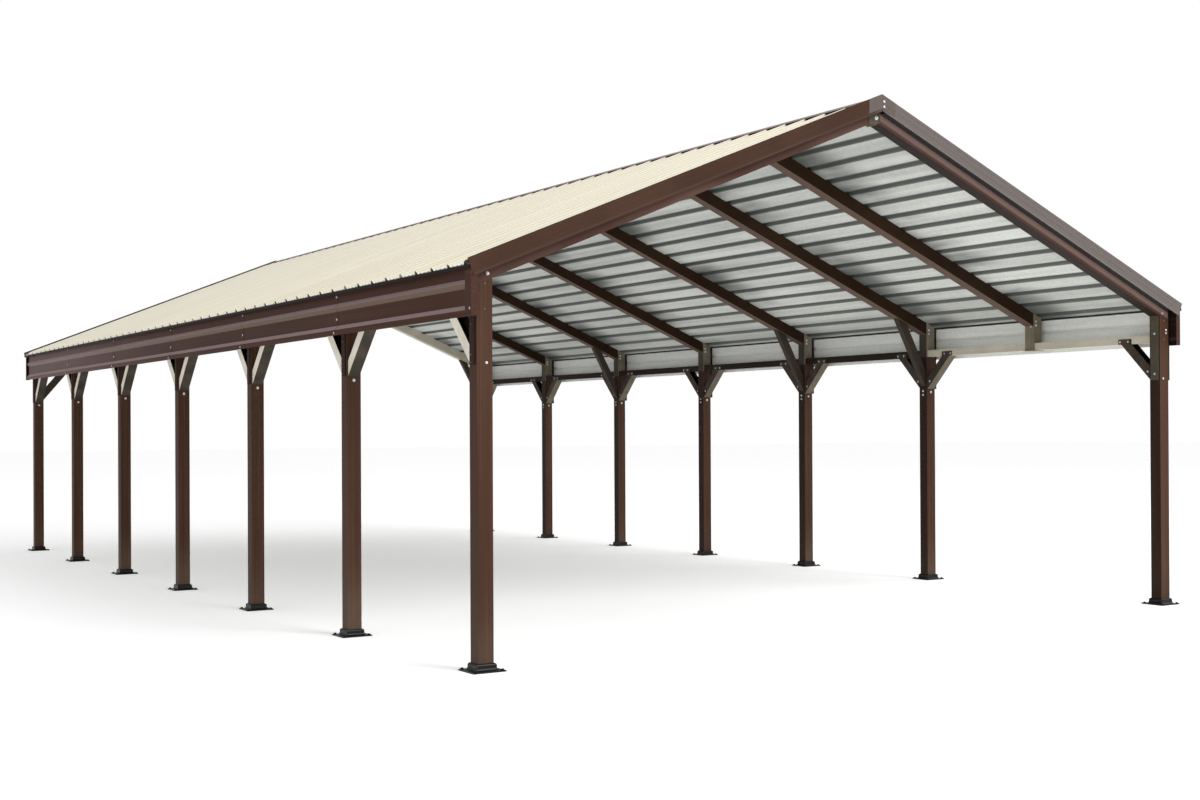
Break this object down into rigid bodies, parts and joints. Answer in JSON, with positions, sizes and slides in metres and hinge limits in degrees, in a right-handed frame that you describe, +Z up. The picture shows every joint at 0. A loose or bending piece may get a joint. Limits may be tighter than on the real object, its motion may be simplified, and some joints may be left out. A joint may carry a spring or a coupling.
{
  "type": "gable carport",
  "caption": "Open gable carport: square brown steel posts on black base shoes, braced headers and rafters, ribbed deck, cream ribbed roof sheets, ribbed side fascias and folded trims.",
  "frame": {"origin": "centre of the plan, at the underside of the base plates", "axes": "+X across the span to the right seen from the front gable, +Y along the ridge to the back, +Z up"},
  "size_m": [6.287, 12.246, 3.7075],
  "materials": {
    "post_brown": "semi-gloss brown paint",
    "frame_brown": "semi-gloss dark brown paint",
    "trim_brown": "satin brown coated sheet",
    "taupe": "dull taupe galvanised steel",
    "galvanised": "galvanised sheet",
    "cream": "satin cream coated sheet",
    "black_shoe": "semi-gloss black paint"
  },
  "bodies": {
    "root": {"left_post_1": "post_brown", "left_post_2": "post_brown", "left_post_3": "post_brown", "left_post_4": "post_brown", "left_post_5": "post_brown", "left_post_6": "post_brown", "left_post_7": "post_brown", "right_post_1": "post_brown", "right_post_2": "post_brown", "right_post_3": "post_brown", "right_post_4": "post_brown", "right_post_5": "post_brown", "right_post_6": "post_brown", "right_post_7": "post_brown", "stand_offs": "post_brown", "rafter_1": "frame_brown", "rafter_2": "frame_brown", "rafter_3": "frame_brown", "rafter_4": "frame_brown", "rafter_5": "frame_brown", "rafter_6": "frame_brown", "rafter_7": "frame_brown", "left_header": "frame_brown", "right_header": "frame_brown", "left_fascia": "trim_brown", "right_fascia": "trim_brown", "front_corner_trims": "trim_brown", "back_corner_trims": "trim_brown", "front_rake_trims": "trim_brown", "back_rake_trims": "trim_brown", "eave_trims": "trim_brown", "ridge_cap": "trim_brown", "right_front_header": "taupe", "left_post_heads": "taupe", "right_post_heads": "taupe", "hanging_stub": "taupe", "front_post_plates": "taupe", "rafter_8": "taupe", "ridge_plates": "taupe", "left_knee_braces": "taupe", "right_knee_braces": "taupe", "cross_braces": "taupe", "left_deck": "galvanised", "right_deck": "galvanised", "left_roof_sheet": "cream", "right_roof_sheet": "cream", "left_shoes": "black_shoe", "right_shoes": "black_shoe"}
  },
  "joints": []
}
